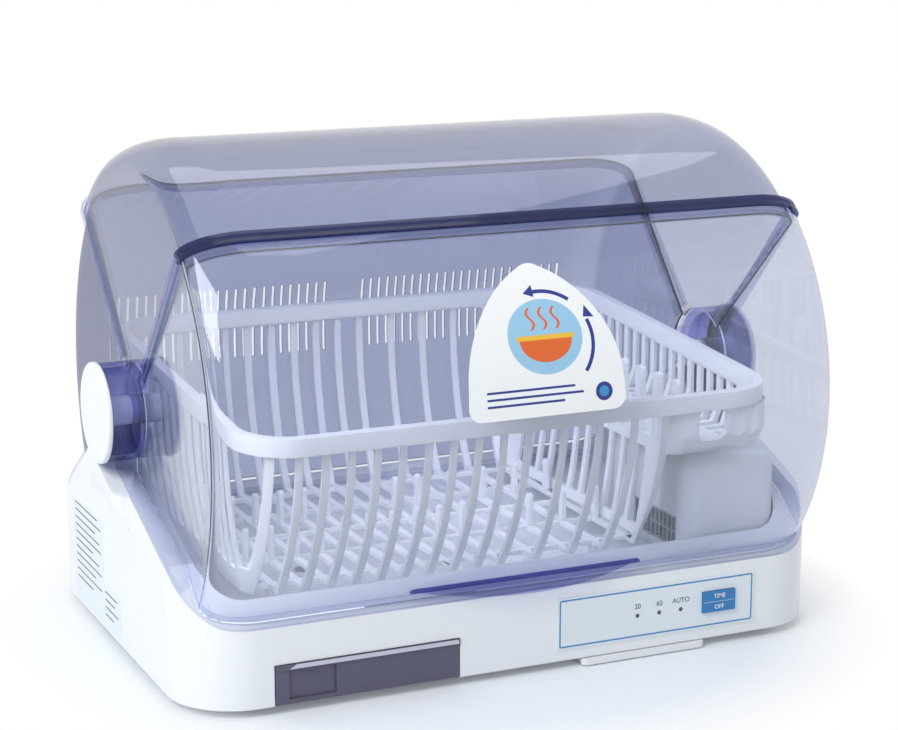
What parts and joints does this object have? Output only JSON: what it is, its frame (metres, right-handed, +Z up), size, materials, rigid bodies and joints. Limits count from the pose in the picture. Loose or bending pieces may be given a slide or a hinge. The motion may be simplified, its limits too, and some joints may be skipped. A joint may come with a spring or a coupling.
{
  "type": "dish drainer box",
  "caption": "Countertop dish dryer with a clear two-stage dome, lift-out basket, drip tray, dust filter and a fan heater in the base.",
  "frame": {"origin": "on the table under the middle of the whole part's box, lids included, 11 mm in front of the middle of the base's plan outline", "axes": "+X to the right along the lids' hinge axis, +Y to the back, +Z up"},
  "size_m": [0.5064, 0.368, 0.358],
  "materials": {
    "white_plastic": "glossy moulded",
    "basket_plastic": "satin moulded",
    "tinted_clear_plastic": "clear violet-blue tint",
    "smoky_plastic": "smoky tint",
    "black_rubber": "matte",
    "label_film": "printed film",
    "blue_button": "satin",
    "steel": "zinc plated",
    "circuit_board": "solder mask",
    "dark_plastic": "moulded",
    "grey_plastic": "moulded",
    "filter_foam": "open mesh",
    "ceramic": "fired ceramic and thin fins"
  },
  "bodies": {
    "base": {"base_left_end": "white_plastic", "base_right_end": "white_plastic", "base_front_wall": "white_plastic", "base_rear_wall": "white_plastic", "base_inlet_wall": "white_plastic", "base_deck": "white_plastic", "base_bosses": "white_plastic", "base_plate": "white_plastic", "rubber_feet": "black_rubber", "base_plate_screws": "steel", "rear_cover": "tinted_clear_plastic", "rear_cover_screws": "steel", "pivot_cap_left": "white_plastic", "pivot_cap_right": "white_plastic", "rating_label": "label_film", "control_label": "label_film", "control_board": "circuit_board", "tact_switch": "dark_plastic", "indicator_lamps": "smoky_plastic", "board_components": "dark_plastic", "board_screws": "steel", "fan_cover": "white_plastic", "fan_cover_screws": "steel", "outlet_grille": "grey_plastic", "heater_frame": "dark_plastic", "heater_element": "ceramic", "thermal_cutout": "dark_plastic", "fan_casing": "grey_plastic", "fan_motor": "steel", "cord_gland": "dark_plastic", "terminal_block": "dark_plastic"},
    "upper_lid": {"upper_lid": "tinted_clear_plastic"},
    "front_lid": {"front_lid": "tinted_clear_plastic", "front_lid_sticker": "label_film"},
    "basket": {"basket_floor": "basket_plastic", "basket_front_wall": "basket_plastic", "basket_left_wall": "basket_plastic", "basket_back_corner": "basket_plastic", "basket_back_wall": "basket_plastic", "basket_inner_wall": "basket_plastic", "basket_shelf": "basket_plastic", "basket_rim": "basket_plastic", "basket_floor_prongs": "basket_plastic", "basket_shelf_prongs": "basket_plastic"},
    "drip_tray": {"drip_tray": "smoky_plastic", "drip_tray_front": "smoky_plastic"},
    "dust_filter": {"filter_frame": "white_plastic", "filter_mesh": "filter_foam"},
    "time_button": {"time_button": "blue_button"},
    "fan": {"impeller": "dark_plastic", "fan_shaft": "steel"}
  },
  "joints": [
    {"name": "upper_lid_hinge", "type": "hinge", "parent": "base", "child": "upper_lid", "pos_m": [0, 0.003, 0.174], "axis": [-1, 0, 0], "range_deg": [0, 64]},
    {"name": "front_lid_hinge", "type": "hinge", "parent": "upper_lid", "child": "front_lid", "pos_m": [0, 0.003, 0.174], "axis": [-1, 0, 0], "range_deg": [0, 75]},
    {"name": "basket_lift", "type": "slide", "parent": "base", "child": "basket", "axis": [0, 0, 1], "range_m": [0, 0.045]},
    {"name": "drip_tray_slide", "type": "slide", "parent": "base", "child": "drip_tray", "axis": [0, -1, 0], "range_m": [0, 0.15]},
    {"name": "dust_filter_slide", "type": "slide", "parent": "base", "child": "dust_filter", "axis": [0, -1, 0], "range_m": [0, 0.095]},
    {"name": "time_button_press", "type": "slide", "parent": "base", "child": "time_button", "axis": [0, 1, 0], "range_m": [0, 0.0012], "stiffness_N_per_m": 900, "springref_m": -0.0008},
    {"name": "fan_spin", "type": "hinge", "parent": "base", "child": "fan", "pos_m": [0.1785, -0.045, 0.072], "axis": [0, 0, 1], "continuous": true}
  ]
}
